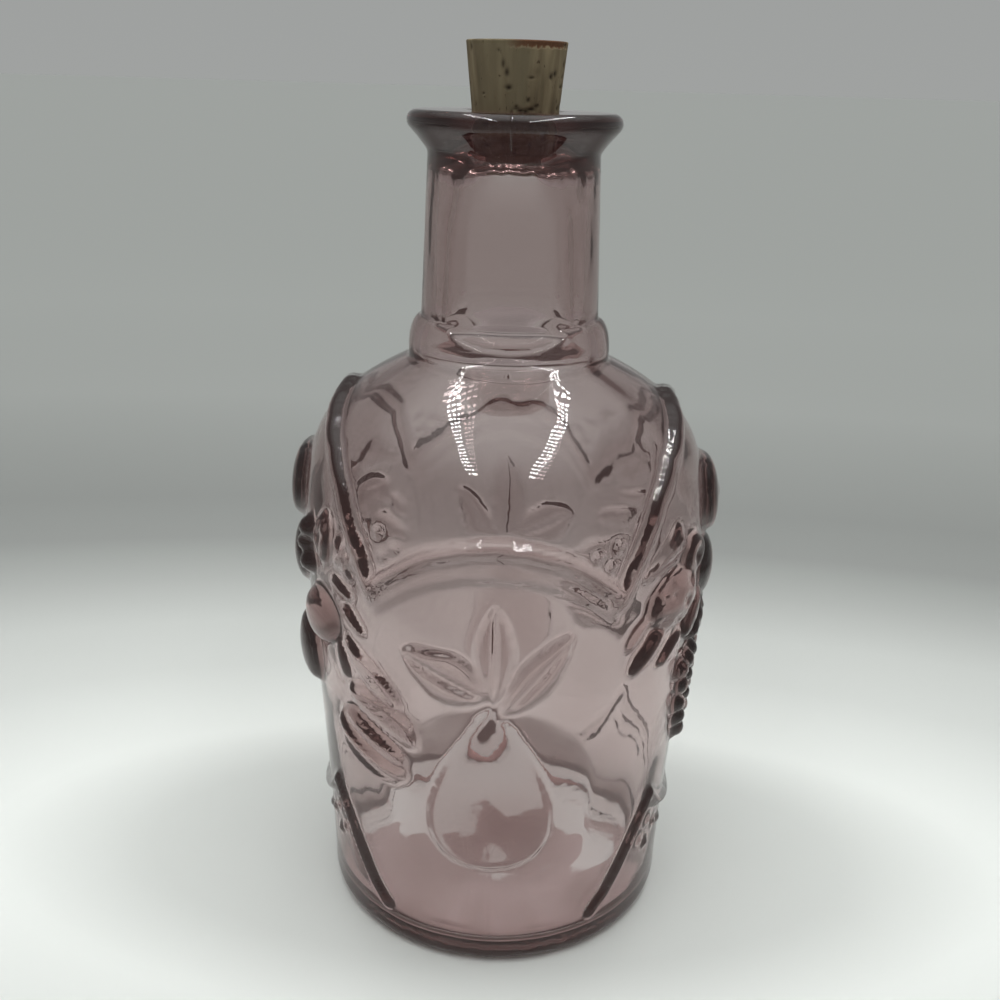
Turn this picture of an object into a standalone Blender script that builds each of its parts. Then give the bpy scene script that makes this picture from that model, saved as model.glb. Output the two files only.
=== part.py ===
"""Glass decanter with fruit in relief, and the tapered cork that stops it.

The bottle is one piece of mould-blown glass. The cork is a second piece, pushed into its mouth.
Metres, +Z up. The origin is on the bottle's axis, at the level that it stands on. The front, with
the pear, faces -Y. The back repeats the front, half a turn round the axis.
"""
import math

import bmesh
import bpy
from mathutils import Matrix, Vector

MM = 0.001

# Heights of the bottle's parts, from the foot up
BODY_HEIGHT = 178.0 * MM
COLLAR_HEIGHT = 12.0 * MM
NECK_LENGTH = 45.0 * MM
LIP_HEIGHT = 11.0 * MM

# Radii of the outside
FOOT_RADIUS = 55.4 * MM
BODY_RADIUS = 61.0 * MM
COLLAR_RADIUS = 29.4 * MM
NECK_BASE_RADIUS = 25.8 * MM
NECK_TOP_RADIUS = 24.0 * MM
LIP_RADIUS = 29.7 * MM
HEEL_RADIUS = 5.0 * MM
LIP_ROUNDING = 1.8 * MM

# Glass
WALL = 3.4 * MM
NECK_WALL = 2.6 * MM
BASE_THICKNESS = 6.0 * MM
PUSH_UP = 2.0 * MM
FOOT_RING_WIDTH = 7.0 * MM

# Flats pressed on the front and the back of the neck and the collar
NECK_FLAT_DISTANCE = 18.0 * MM
COLLAR_FLAT_DISTANCE = 24.0 * MM
COLLAR_FLAT_HEIGHT = 3.4 * MM
FLAT_FADE_HEIGHT = 13.0 * MM
FLAT_FADE_DEPTH = 3.0 * MM

# Cork, and the mouth that it fits
CORK_TOP_RADIUS = 13.7 * MM
CORK_LENGTH = 32.0 * MM
CORK_TAPER = 3.2 * MM
CORK_STAND = 17.6 * MM
CORK_CHAMFER = 0.6 * MM
CORK_CLEARANCE = 0.3 * MM
MOUTH_ROUNDING = 1.0 * MM
THROAT_FLARE = 5.0 * MM

# Round ribs that frame the panels, and the studs in the panels' corners
RIB_WIDTH = 4.8 * MM
RIB_LIFT = 2.9 * MM
LOWER_RIB_WIDTH = 4.2 * MM
LOWER_RIB_LIFT = 2.3 * MM
STUD_WIDTH = 4.6 * MM
STUD_LIFT = 1.5 * MM

# Fruit and leaves
PEAR_WIDTH = 37.0 * MM
PEAR_HEIGHT = 56.5 * MM
PEAR_LIFT = 4.2 * MM
LEAF_LENGTH = 29.0 * MM
LEAF_WIDTH = 11.0 * MM
LEAF_LIFT = 2.2 * MM
MEDAL_WIDTH = 27.0 * MM
MEDAL_HEIGHT = 23.0 * MM
MEDAL_LIFT = 4.6 * MM
FRUIT_WIDTH = 28.0 * MM
FRUIT_LIFT = 4.6 * MM
GRAPE_WIDTH = 7.4 * MM
GRAPE_LIFT = 3.6 * MM

# How deep a raised shape is rooted in the wall, and how far a cutter runs past what it cuts
ROOT = 1.0 * MM
OVERRUN = 5.0 * MM

# Points closer than this are one point
MERGE_DISTANCE = 0.01 * MM

SEGMENTS = 38
INNER_SEGMENTS = 26
CORK_SEGMENTS = 36

# Heights and radii worked out from the sizes above
COLLAR_TOP = BODY_HEIGHT + COLLAR_HEIGHT
LIP_BOTTOM = COLLAR_TOP + NECK_LENGTH
RIM_HEIGHT = LIP_BOTTOM + LIP_HEIGHT
CORK_TOP = RIM_HEIGHT + CORK_STAND
CORK_BOTTOM = CORK_TOP - CORK_LENGTH

# Places on the wall: an azimuth in degrees from the front, and a share of the body's height
rib_shares = ((33.5, 0.700), (36.8, 0.746), (40.9, 0.789), (46.3, 0.840), (54.5, 0.881),
              (66.0, 0.910), (78.0, 0.929), (90.0, 0.940))
arc_shares = ((-33.5, 0.702), (-24.6, 0.746), (-16.5, 0.775), (-8.5, 0.790), (0.0, 0.7955),
              (8.5, 0.790), (16.5, 0.775), (24.6, 0.746), (33.5, 0.702))
lower_rib_shares = ((34.2, 0.078), (40.0, 0.114), (45.3, 0.162), (51.5, 0.219), (58.5, 0.280))
lower_arc_shares = ((56.9, 0.277), (63.0, 0.240), (71.0, 0.211), (80.0, 0.192), (90.0, 0.186),
                    (100.0, 0.192), (109.0, 0.211), (117.0, 0.240), (123.1, 0.277))
stud_shares = ((32.7, 0.784), (26.2, 0.775), (30.6, 0.754))

# Leaves above the pear: azimuth, height, length and width as shares of a leaf's, turn in degrees
leaf_shares = ((0.4, 0.622, 1.00, 1.0, 90.0), (-12.6, 0.580, 0.92, 1.0, 150.0),
               (11.4, 0.592, 1.03, 0.9, 56.0))

# Fruit on the sides: azimuth, height, width and height as shares of the fruit's, turn, lift
round_fruit_shares = ((90.0, 0.640, 0.85, 0.80, 0.0, 1.20), (54.5, 0.663, 0.90, 0.62, 5.0, 1.00),
                      (64.5, 0.722, 0.50, 0.42, 0.0, 0.80), (122.8, 0.601, 0.70, 0.60, -10.0, 1.00),
                      (109.0, 0.506, 0.62, 0.86, -8.0, 1.05), (143.0, 0.404, 1.00, 0.64, -5.0, 1.10),
                      (115.0, 0.720, 0.34, 0.50, 0.0, 0.80))
side_leaf_shares = ((49.0, 0.744, 0.75, 0.32, 25.0, 0.35), (45.0, 0.596, 0.68, 0.26, 50.0, 0.65),
                    (56.0, 0.568, 0.52, 0.20, 35.0, 0.50), (68.0, 0.604, 0.62, 0.28, 45.0, 0.65),
                    (126.0, 0.745, 0.54, 0.36, 78.0, 0.50), (136.5, 0.739, 0.44, 0.40, 160.0, 0.40),
                    (148.5, 0.484, 0.97, 0.34, -24.0, 0.80), (145.0, 0.545, 0.93, 0.26, -36.0, 0.45))

# Rows of the bunch of grapes: the height of the row and the number of grapes, from the top
grape_row_shares = ((0.500, 4), (0.461, 3), (0.423, 3), (0.386, 2), (0.350, 1))
GRAPE_AZIMUTH = 76.0
MEDAL_PLACE_SHARE = 0.776
PEAR_PLACE_SHARE = 0.375


def clear_scene():
    """Start from an empty scene."""
    for item in list(bpy.data.objects):
        bpy.data.objects.remove(item, do_unlink=True)


def material(name, colour, roughness, metallic, transmission):
    """A plain finish for one piece."""
    finish = bpy.data.materials.new(name)
    finish.use_nodes = True
    surface = finish.node_tree.nodes["Principled BSDF"]
    surface.inputs["Base Color"].default_value = colour
    surface.inputs["Roughness"].default_value = roughness
    surface.inputs["Metallic"].default_value = metallic
    surface.inputs["Transmission Weight"].default_value = transmission
    return finish


def curve(corners, steps):
    """Points of a cubic curve in radius and height, without its first point."""
    points = []
    for step in range(1, steps + 1):
        t = step / steps
        s = 1.0 - t
        weights = (s ** 3, 3.0 * s * s * t, 3.0 * s * t * t, t ** 3)
        radius = sum(weight * corner[0] for weight, corner in zip(weights, corners))
        height = sum(weight * corner[1] for weight, corner in zip(weights, corners))
        points.append((radius, height))
    return points


def arc(centre, radius, start_degrees, end_degrees, steps):
    """Points of a round stretch, both ends included."""
    points = []
    for step in range(steps + 1):
        angle = math.radians(start_degrees + (end_degrees - start_degrees) * step / steps)
        points.append((centre[0] + radius * math.cos(angle), centre[1] + radius * math.sin(angle)))
    return points


def body_outline(inset, lower_steps, upper_steps):
    """The wall from above the heel to the collar, moved in by a thickness of glass."""
    swell = BODY_RADIUS - FOOT_RADIUS
    shoulder_run = BODY_RADIUS - COLLAR_RADIUS
    foot = (FOOT_RADIUS - inset, HEEL_RADIUS * 1.6)
    widest = (BODY_RADIUS - inset, BODY_HEIGHT * 0.708)
    top = (COLLAR_RADIUS - inset, BODY_HEIGHT - inset)
    lower_pull = (foot[0] + swell * 0.14, BODY_HEIGHT * 0.28)
    upper_pull = (widest[0] - swell * 0.07, BODY_HEIGHT * 0.506)
    side_pull = (widest[0] + swell * 0.14, BODY_HEIGHT * 0.9 - inset * 0.6)
    shoulder_pull = (top[0] + shoulder_run * 0.68, BODY_HEIGHT * 0.938 - inset)
    lower = curve((foot, lower_pull, upper_pull, widest), lower_steps)
    upper = curve((widest, side_pull, shoulder_pull, top), upper_steps)
    return [foot] + lower + upper


def outer_outline():
    """Half of the bottle's outer section, from the middle of the base to the middle of the rim."""
    ring_outer = FOOT_RADIUS - HEEL_RADIUS
    ring_inner = ring_outer - FOOT_RING_WIDTH
    bulge = COLLAR_RADIUS - NECK_BASE_RADIUS
    lip_run = LIP_RADIUS - NECK_TOP_RADIUS
    points = [(0.0, PUSH_UP), (ring_inner * 0.6, PUSH_UP * 0.8), (ring_inner, 0.0)]
    points += arc((ring_outer, HEEL_RADIUS), HEEL_RADIUS, -90.0, -18.0, 3)
    points += BODY_WALL
    collar_low = (COLLAR_RADIUS + bulge * 0.4, BODY_HEIGHT + COLLAR_HEIGHT * 0.35)
    collar_high = (COLLAR_RADIUS, COLLAR_TOP - COLLAR_HEIGHT * 0.1)
    points += curve((points[-1], collar_low, collar_high, (NECK_BASE_RADIUS, COLLAR_TOP)), 4)
    points.append((NECK_TOP_RADIUS, LIP_BOTTOM))
    points.append((NECK_TOP_RADIUS + lip_run * 0.22, LIP_BOTTOM + LIP_HEIGHT * 0.36))
    lip_centre = (LIP_RADIUS - LIP_ROUNDING, RIM_HEIGHT - LIP_ROUNDING)
    points += arc(lip_centre, LIP_ROUNDING, -50.0, 90.0, 5)
    points.append((0.0, RIM_HEIGHT))
    return points


def cork_radius(height):
    """The cork's radius at a height, along its taper."""
    return CORK_TOP_RADIUS - CORK_TAPER * (CORK_TOP - height) / CORK_LENGTH


def inner_outline():
    """Half of the hollow's section, from the middle of its floor to above the mouth."""
    floor_radius = FOOT_RADIUS - WALL - HEEL_RADIUS
    neck_base = NECK_BASE_RADIUS - NECK_WALL
    neck_top = NECK_TOP_RADIUS - NECK_WALL
    throat = cork_radius(LIP_BOTTOM) + CORK_CLEARANCE
    mouth = cork_radius(RIM_HEIGHT) + CORK_CLEARANCE
    flare_start = (neck_top, LIP_BOTTOM - THROAT_FLARE)
    flare_middle = LIP_BOTTOM - THROAT_FLARE * 0.4
    low_wall = BASE_THICKNESS + HEEL_RADIUS
    points = [(0.0, BASE_THICKNESS + PUSH_UP), (floor_radius, BASE_THICKNESS)]
    points += [(FOOT_RADIUS - WALL, low_wall)]
    points += [point for point in body_outline(WALL, 3, 6) if point[1] > low_wall + HEEL_RADIUS]
    points.append((neck_base, COLLAR_TOP))
    points.append(flare_start)
    flare_pulls = ((neck_top, flare_middle), (throat, flare_middle))
    points += curve((flare_start,) + flare_pulls + ((throat, LIP_BOTTOM),), 4)
    points.append((mouth, RIM_HEIGHT - MOUTH_ROUNDING))
    points.append((mouth + MOUTH_ROUNDING, RIM_HEIGHT))
    points.append((mouth + MOUTH_ROUNDING, RIM_HEIGHT + OVERRUN))
    points.append((0.0, RIM_HEIGHT + OVERRUN))
    return points


BODY_WALL = body_outline(0.0, 5, 8)


def wall_frame(azimuth, height):
    """A place on the outer wall: its point, and the directions across, up the wall and out."""
    for low, high in zip(BODY_WALL, BODY_WALL[1:]):
        if height <= high[1]:
            break
    slope = (high[0] - low[0]) / (high[1] - low[1])
    radius = low[0] + (height - low[1]) * slope
    angle = math.radians(azimuth)
    outward = Vector((math.sin(angle), -math.cos(angle), 0.0))
    across = Vector((math.cos(angle), math.sin(angle), 0.0))
    up = (outward * slope + Vector((0.0, 0.0, 1.0))).normalized()
    point = outward * radius + Vector((0.0, 0.0, height))
    return point, across, up, across.cross(up)


def on_wall(azimuth, height, across, up, lift):
    """A point at a distance across and up from a place on the wall, lifted off it."""
    start, side, rise, out = wall_frame(azimuth, height)
    turned_by = math.degrees(across / start.xy.length)
    point, side, rise, out = wall_frame(azimuth + turned_by, height + up * rise.z)
    return point + out * lift


def finish_mesh(name, work):
    """Turn a working mesh into an object, with its faces pointing out."""
    bmesh.ops.recalc_face_normals(work, faces=work.faces)
    mesh_data = bpy.data.meshes.new(name)
    work.to_mesh(mesh_data)
    work.free()
    item = bpy.data.objects.new(name, mesh_data)
    bpy.context.scene.collection.objects.link(item)
    return item


def turned(name, outline, segments):
    """A solid turned round the Z axis from half of its section, whose ends are on the axis.

    Its first row of corners stands a quarter of a step off the X axis, clear of the relief's middles.
    """
    work = bmesh.new()
    start = math.tau / segments / 4.0
    corners = [work.verts.new((radius * math.cos(start), radius * math.sin(start), height))
               for radius, height in outline]
    edges = [work.edges.new(pair) for pair in zip(corners, corners[1:])]
    bmesh.ops.spin(work, geom=corners + edges, cent=(0.0, 0.0, 0.0), axis=(0.0, 0.0, 1.0),
                   angle=math.tau, steps=segments, use_merge=True)
    bmesh.ops.remove_doubles(work, verts=work.verts, dist=MERGE_DISTANCE)
    return finish_mesh(name, work)


def closed_rings(name, rings, crown):
    """A closed shape through rings of points, capped flat at its root and drawn to a crown point."""
    work = bmesh.new()
    loops = [[work.verts.new(point) for point in ring] for ring in rings]
    count = len(loops[0])
    work.faces.new(loops[0])
    for low, high in zip(loops, loops[1:]):
        for index in range(count):
            after = (index + 1) % count
            work.faces.new((low[index], low[after], high[after], high[index]))
    if crown is None:
        work.faces.new(loops[-1])
    else:
        tip = work.verts.new(crown)
        for index in range(count):
            work.faces.new((loops[-1][index], loops[-1][(index + 1) % count], tip))
    return finish_mesh(name, work)


def oval(count, point_power):
    """An oval of half sizes 1, drawn to points at its ends where the power is over 1."""
    loop = []
    for index in range(count):
        angle = math.tau * index / count
        width = math.copysign(abs(math.sin(angle)) ** point_power, math.sin(angle))
        loop.append((math.cos(angle), width))
    return loop


def pear_loop(count):
    """A pear's outline of half sizes 1, stalk up: an oval that narrows from its belly upward."""
    loop = []
    for index in range(count):
        angle = math.tau * index / count
        height = math.sin(angle)
        loop.append((math.cos(angle) * (0.84 - 0.5 * height), height))
    return loop


# Rings of a raised shape: how far the outline is drawn in, and the share of the lift there
round_ring_shares = ((0.0, 0.10), (0.14, 0.62), (0.45, 0.93))
low_ring_shares = ((0.0, 0.20), (0.30, 0.80))
flat_ring_shares = ((0.0, 0.50), (0.10, 0.86), (0.35, 1.0))
leaf_ring_shares = ((0.0, 0.35), (0.35, 0.75))


def raised(name, place, half_size, turn, lift, outline, ring_shares, ridge=1.0):
    """A shape raised off the wall. A ridge below 1 keeps the crown long, as on a leaf."""
    azimuth, height = place
    angle = math.radians(turn)
    rings = []
    for drawn_in, lift_share in ((0.0, -ROOT / lift),) + ring_shares:
        ring = []
        for along, aside in outline:
            along_wall = along * half_size[0] * (1.0 - drawn_in * ridge)
            aside_wall = aside * half_size[1] * (1.0 - drawn_in)
            across = along_wall * math.cos(angle) - aside_wall * math.sin(angle)
            up = along_wall * math.sin(angle) + aside_wall * math.cos(angle)
            ring.append(on_wall(azimuth, height, across, up, lift * lift_share))
        rings.append(ring)
    return closed_rings(name, rings, on_wall(azimuth, height, 0.0, 0.0, lift))


def rib(name, places, width, lift):
    """A round rib along a line of places on the wall, with drawn-in ends."""
    frames = [wall_frame(azimuth, share * BODY_HEIGHT) for azimuth, share in places]
    points = [frame[0] for frame in frames]
    rings = []
    last = len(points) - 1
    section = arc((0.0, 0.0), 1.0, 0.0, 180.0, 4)
    for index, frame in enumerate(frames):
        along = (points[min(index + 1, last)] - points[max(index - 1, 0)]).normalized()
        out = frame[3]
        side = along.cross(out).normalized()
        end_share = 0.55 if index in (0, last) else 1.0
        half = width / 2.0 * end_share
        ring = [points[index] + side * half * c + out * lift * end_share * s for c, s in section]
        ring.append(points[index] - side * half * 0.8 - out * ROOT)
        ring.append(points[index] + side * half * 0.8 - out * ROOT)
        rings.append(ring)
    return closed_rings(name, rings, None)


def mirrored(places, middle=0.0):
    """The same places on the other side of a middle, in the opposite order."""
    return [(middle * 2.0 - azimuth, share) for azimuth, share in reversed(places)]


def frame_ribs():
    """The ribs round the shoulder's panels and down to the heel, and the studs beside them."""
    over_side = list(rib_shares) + mirrored(rib_shares[:-1], 90.0)
    pieces = [rib("arc_rib", arc_shares, RIB_WIDTH, RIB_LIFT),
              rib("side_rib", over_side, RIB_WIDTH, RIB_LIFT),
              rib("low_arc_rib", lower_arc_shares, LOWER_RIB_WIDTH, LOWER_RIB_LIFT)]
    for places in (lower_rib_shares, mirrored(lower_rib_shares)):
        pieces.append(rib("low_rib", places, LOWER_RIB_WIDTH, LOWER_RIB_LIFT))
    for azimuth, height_share in list(stud_shares) + mirrored(stud_shares):
        place = (azimuth, height_share * BODY_HEIGHT)
        half = (STUD_WIDTH / 2.0, STUD_WIDTH / 2.0)
        pieces.append(raised("stud", place, half, 0.0, STUD_LIFT, oval(6, 1.0), low_ring_shares))
    return pieces


def front_fruit():
    """The pear on the front and the three leaves above it."""
    pear_half = (PEAR_WIDTH / 2.0, PEAR_HEIGHT / 2.0)
    pieces = [raised("pear", (0.0, PEAR_PLACE_SHARE * BODY_HEIGHT), pear_half, 0.0, PEAR_LIFT,
                     pear_loop(22), round_ring_shares)]
    for azimuth, height_share, length_share, width_share, turn in leaf_shares:
        half = (LEAF_LENGTH * length_share / 2.0, LEAF_WIDTH * width_share / 2.0)
        pieces.append(raised("leaf", (azimuth, height_share * BODY_HEIGHT), half, turn, LEAF_LIFT,
                             oval(12, 1.5), leaf_ring_shares, 0.3))
    return pieces


def side_fruit():
    """The medal, the fruit, the leaves and the grapes of one side panel."""
    medal_half = (MEDAL_WIDTH / 2.0, MEDAL_HEIGHT / 2.0)
    pieces = [raised("medal", (90.0, MEDAL_PLACE_SHARE * BODY_HEIGHT), medal_half, 0.0, MEDAL_LIFT,
                     oval(16, 1.0), flat_ring_shares)]
    for azimuth, height_share, width_share, tall_share, turn, lift_share in round_fruit_shares:
        half = (FRUIT_WIDTH * width_share / 2.0, FRUIT_WIDTH * tall_share / 2.0)
        count = 12 if width_share > 0.4 else 8
        pieces.append(raised("fruit", (azimuth, height_share * BODY_HEIGHT), half, turn,
                             FRUIT_LIFT * lift_share, oval(count, 1.0), round_ring_shares))
    for azimuth, height_share, length_share, width_share, turn, lift_share in side_leaf_shares:
        half = (FRUIT_WIDTH * length_share / 2.0, FRUIT_WIDTH * width_share / 2.0)
        pieces.append(raised("side_leaf", (azimuth, height_share * BODY_HEIGHT), half, turn,
                             FRUIT_LIFT * lift_share, oval(10, 1.4), leaf_ring_shares, 0.3))
    return pieces + grapes()


def grapes():
    """Rows of grapes that narrow downward."""
    pieces = []
    for height_share, count in grape_row_shares:
        height = height_share * BODY_HEIGHT
        pitch = math.degrees(GRAPE_WIDTH * 0.94 / wall_frame(0.0, height)[0].xy.length)
        for index in range(count):
            azimuth = GRAPE_AZIMUTH + (index - (count - 1) / 2.0) * pitch
            half = GRAPE_WIDTH / 2.0
            pieces.append(raised("grape", (azimuth, height), (half, half), 0.0, GRAPE_LIFT,
                                 oval(8, 1.0), low_ring_shares))
    return pieces


def half_turned(pieces):
    """Copies of the pieces, half a turn round the bottle's axis."""
    copies = []
    for piece in pieces:
        twin = piece.copy()
        twin.data = piece.data.copy()
        twin.data.transform(Matrix.Rotation(math.pi, 4, "Z"))
        bpy.context.scene.collection.objects.link(twin)
        copies.append(twin)
    return copies


def neck_flats(inset, collar_inset):
    """Blocks beside the front and the back of the neck, whose near faces are its flats.

    From the foot up, each near face stands upright on the collar, leans in to the neck, stands
    upright along it and leans out again to the lip. Both insets move it in by a wall.
    """
    reach = LIP_RADIUS * 2.0
    collar_face = COLLAR_FLAT_DISTANCE - collar_inset
    neck_face = NECK_FLAT_DISTANCE - inset
    low = BODY_HEIGHT + COLLAR_HEIGHT * 0.2 - collar_inset
    lean = low + COLLAR_FLAT_HEIGHT
    section = ((-collar_face, low), (-collar_face, lean), (-neck_face, COLLAR_TOP),
               (-neck_face, LIP_BOTTOM - FLAT_FADE_HEIGHT),
               (-neck_face - FLAT_FADE_DEPTH, LIP_BOTTOM), (-reach, LIP_BOTTOM), (-reach, low))
    work = bmesh.new()
    loop = [work.verts.new((-reach, y, z)) for y, z in section]
    face = work.faces.new(loop)
    moved = bmesh.ops.extrude_face_region(work, geom=[face])
    far_side = [item for item in moved["geom"] if isinstance(item, bmesh.types.BMVert)]
    bmesh.ops.translate(work, verts=far_side, vec=(reach * 2.0, 0.0, 0.0))
    front = finish_mesh("neck_flat", work)
    return [front] + half_turned([front])


def combine(target, pieces, operation):
    """Join pieces to a body, or cut them from it, and remove them."""
    group = bpy.data.collections.new("pieces")
    bpy.context.scene.collection.children.link(group)
    for piece in pieces:
        group.objects.link(piece)
    change = target.modifiers.new("combine", "BOOLEAN")
    change.operand_type = "COLLECTION"
    change.collection = group
    change.solver = "EXACT"
    change.operation = operation
    bpy.context.view_layer.objects.active = target
    bpy.ops.object.modifier_apply(modifier=change.name)
    for piece in pieces:
        bpy.data.objects.remove(piece, do_unlink=True)
    bpy.data.collections.remove(group)


def make_bottle():
    """The glass bottle, in one piece."""
    bottle = turned("glass_bottle", outer_outline(), SEGMENTS)
    combine(bottle, neck_flats(0.0, 0.0), "DIFFERENCE")
    hollow = turned("hollow", inner_outline(), INNER_SEGMENTS)
    combine(hollow, neck_flats(NECK_WALL, WALL), "DIFFERENCE")
    combine(bottle, [hollow], "DIFFERENCE")
    pieces = frame_ribs() + front_fruit() + side_fruit()
    combine(bottle, pieces + half_turned(pieces), "UNION")
    return bottle


def make_cork():
    """The tapered cork, with its origin on the axis at its lower end."""
    outline = [(0.0, 0.0), (cork_radius(CORK_BOTTOM) - CORK_CHAMFER, 0.0),
               (cork_radius(CORK_BOTTOM + CORK_CHAMFER), CORK_CHAMFER),
               (cork_radius(CORK_TOP - CORK_CHAMFER), CORK_LENGTH - CORK_CHAMFER),
               (CORK_TOP_RADIUS - CORK_CHAMFER, CORK_LENGTH), (0.0, CORK_LENGTH)]
    cork = turned("cork_stopper", outline, CORK_SEGMENTS)
    cork.location = (0.0, 0.0, CORK_BOTTOM)
    return cork


def smooth(piece):
    """Shade a round piece smooth, with its corners sharp."""
    piece.data.shade_smooth()
    piece.data.set_sharp_from_angle(angle=math.radians(35.0))


def main():
    """Build both pieces and give each its finish."""
    clear_scene()
    bottle = make_bottle()
    cork = make_cork()
    bottle.data.materials.clear()
    bottle.data.materials.append(material("amethyst_glass", (0.55, 0.42, 0.47, 1.0), 0.03, 0.0, 0.9))
    cork.data.materials.append(material("cork", (0.55, 0.40, 0.27, 1.0), 0.85, 0.0, 0.0))
    smooth(bottle)
    smooth(cork)


main()
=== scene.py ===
import math

import bpy
import numpy as np
from mathutils import Matrix


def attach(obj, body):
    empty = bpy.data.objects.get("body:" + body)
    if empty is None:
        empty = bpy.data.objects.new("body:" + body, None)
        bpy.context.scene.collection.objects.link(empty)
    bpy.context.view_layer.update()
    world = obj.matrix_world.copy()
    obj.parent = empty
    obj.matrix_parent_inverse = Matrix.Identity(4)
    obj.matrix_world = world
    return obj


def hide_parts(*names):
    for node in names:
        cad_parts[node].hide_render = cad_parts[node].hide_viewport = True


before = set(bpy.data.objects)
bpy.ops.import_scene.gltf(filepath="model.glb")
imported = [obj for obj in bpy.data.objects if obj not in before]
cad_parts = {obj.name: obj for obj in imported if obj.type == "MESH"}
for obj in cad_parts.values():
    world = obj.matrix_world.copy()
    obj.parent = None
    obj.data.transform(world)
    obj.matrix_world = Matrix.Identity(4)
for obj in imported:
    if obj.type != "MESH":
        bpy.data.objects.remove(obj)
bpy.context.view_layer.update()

# Lengths below are in millimetres, and become metres where a mesh is made
MM = 0.001

# Heights of the bottle, from the table up
BODY_HEIGHT = 178.0
COLLAR_HEIGHT = 12.0
NECK_LENGTH = 45.0
LIP_HEIGHT = 11.0
COLLAR_TOP = BODY_HEIGHT + COLLAR_HEIGHT
LIP_BOTTOM = COLLAR_TOP + NECK_LENGTH
RIM_HEIGHT = LIP_BOTTOM + LIP_HEIGHT

# Radii of the bottle
FOOT_RADIUS = 55.4
BODY_RADIUS = 61.0
COLLAR_RADIUS = 29.4
NECK_BASE_RADIUS = 25.8
NECK_TOP_RADIUS = 24.0
LIP_RADIUS = 29.7
HEEL_RADIUS = 5.0
LIP_ROUNDING = 2.8

# Thicknesses, the hollow under the base, and the floor inside
WALL = 3.4
NECK_WALL = 4.1
BASE_THICKNESS = 6.0
PUSH_UP = 2.0
BOWL_TOP = 13.0
FLOOR_HEIGHT = BASE_THICKNESS + PUSH_UP
FLOOR_EDGE_HEIGHT = FLOOR_HEIGHT - 3.2
FOOT_GAP = 0.06
FOOT_RING_WIDTH = 7.0

# The side of the body: where the heel ends, where it is widest, and the handles of its two curves
HEEL_TOP = 8.0
WIDEST_HEIGHT = 126.0
FOOT_HANDLE = (FOOT_RADIUS + 0.8, 50.0)
WAIST_HANDLE = (BODY_RADIUS - 0.4, 90.0)
WIDEST_HANDLE = (BODY_RADIUS + 0.8, 160.0)
SHOULDER_HANDLE = (51.0, 167.0)
# How much of an inset is taken off the heights of the upper curve, and off the shoulder handle's radius
WIDEST_DROP_SHARE = 0.5
SHOULDER_DROP_SHARE = 0.8
COLLAR_DROP_SHARE = 0.4

# Distances of the front and back flats from the axis, at heights up the collar, the neck and the lip
FLAT_PLACES = ((180.0, 30.0), (183.6, 24.4), (187.3, 19.5), (188.6, 18.3), (190.0, 18.0), (219.0, 18.0),
               (223.0, 18.7), (228.0, 19.7), (LIP_BOTTOM, 20.9), (LIP_BOTTOM + 1.2, 25.0), (RIM_HEIGHT, 34.0))
INNER_FLAT_PLACES = ((180.0, 30.0), (183.6, 22.4), (187.3, 17.6), (190.0, 15.0), (196.0, 14.2),
                     (219.0, 14.2), (226.0, 16.2), (LIP_BOTTOM, 21.0))
FLAT_ROUNDING = 0.35
INNER_FLAT_ROUNDING = 4.0
# The collar is oval seen from above: how deep it is for its width, at heights up it
COLLAR_OVAL_PLACES = ((BODY_HEIGHT, 1.0), (BODY_HEIGHT + 2.6, 0.82), (COLLAR_TOP, 0.82))

# The mouth and the cork
MOUTH_ROUNDING = 1.0
CORK_TOP_RADIUS = 13.7
CORK_LENGTH = 32.0
CORK_TAPER = 3.2
CORK_STAND = 17.6
CORK_TOP = RIM_HEIGHT + CORK_STAND
CORK_BOTTOM = CORK_TOP - CORK_LENGTH
CORK_GAP = 0.25
THROAT_FLARE = 5.0

# How finely the cork is meshed, its soft edge, and its pits: azimuth, height, half width, half height, depth
CORK_COLUMNS = 260
CORK_ROWS = 120
CORK_EDGE = 0.45
CORK_EDGE_STEPS = 5
CORK_CAP_SHARES = (0.3, 0.6, 0.8, 0.92)
CORK_PIT_SEED = 5
CORK_PIT_COUNT = 44
CORK_PITS = ((-14.0, 257.6, 0.5, 1.1, 0.8), (-9.5, 255.6, 0.55, 1.0, 0.9), (-7.0, 251.9, 0.85, 0.55, 1.0),
             (48.0, 254.8, 0.75, 0.85, 1.0), (3.0, 246.9, 1.0, 0.42, 0.8), (8.0, 246.3, 1.2, 0.45, 1.0),
             (15.0, 246.2, 1.2, 0.45, 0.9), (22.0, 246.7, 1.3, 0.42, 1.0), (29.0, 247.5, 0.8, 0.4, 0.8),
             (34.0, 244.8, 1.0, 0.8, 0.9), (26.0, 256.0, 1.2, 1.1, 0.25), (-80.0, 259.5, 0.8, 1.0, 0.9),
             (-78.0, 252.6, 0.7, 0.8, 0.9), (-79.0, 248.8, 0.8, 0.6, 0.7), (76.0, 258.0, 0.8, 0.9, 0.8),
             (78.0, 255.0, 0.8, 0.6, 0.7), (72.0, 247.0, 0.9, 0.7, 0.8), (-62.0, 261.8, 0.5, 0.9, 0.8))
# Depths on the cork's side: its pits, its chip, the whole side under its edge, and its ridges
PIT_DEPTH = 0.42
CHIP_DEPTH = 0.45
SIDE_INSET = 0.05
RIDGE_DEPTH = 0.035
# The chip in the cork's top edge, and how high and ragged its lower edge is
CHIP_AZIMUTH = 38.0
CHIP_HALF_ANGLE = 42.0
CHIP_FADE = (CORK_TOP - 1.3, CORK_TOP - 1.0)
CHIP_RAISE = 0.5
CHIP_RAGGEDNESS = 0.22

# How finely the glass is meshed: its columns, and the step between the rows of each section
FRONT_COLUMNS = 204
BACK_COLUMNS = 106
FRONT_REACH = 106.0
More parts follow.
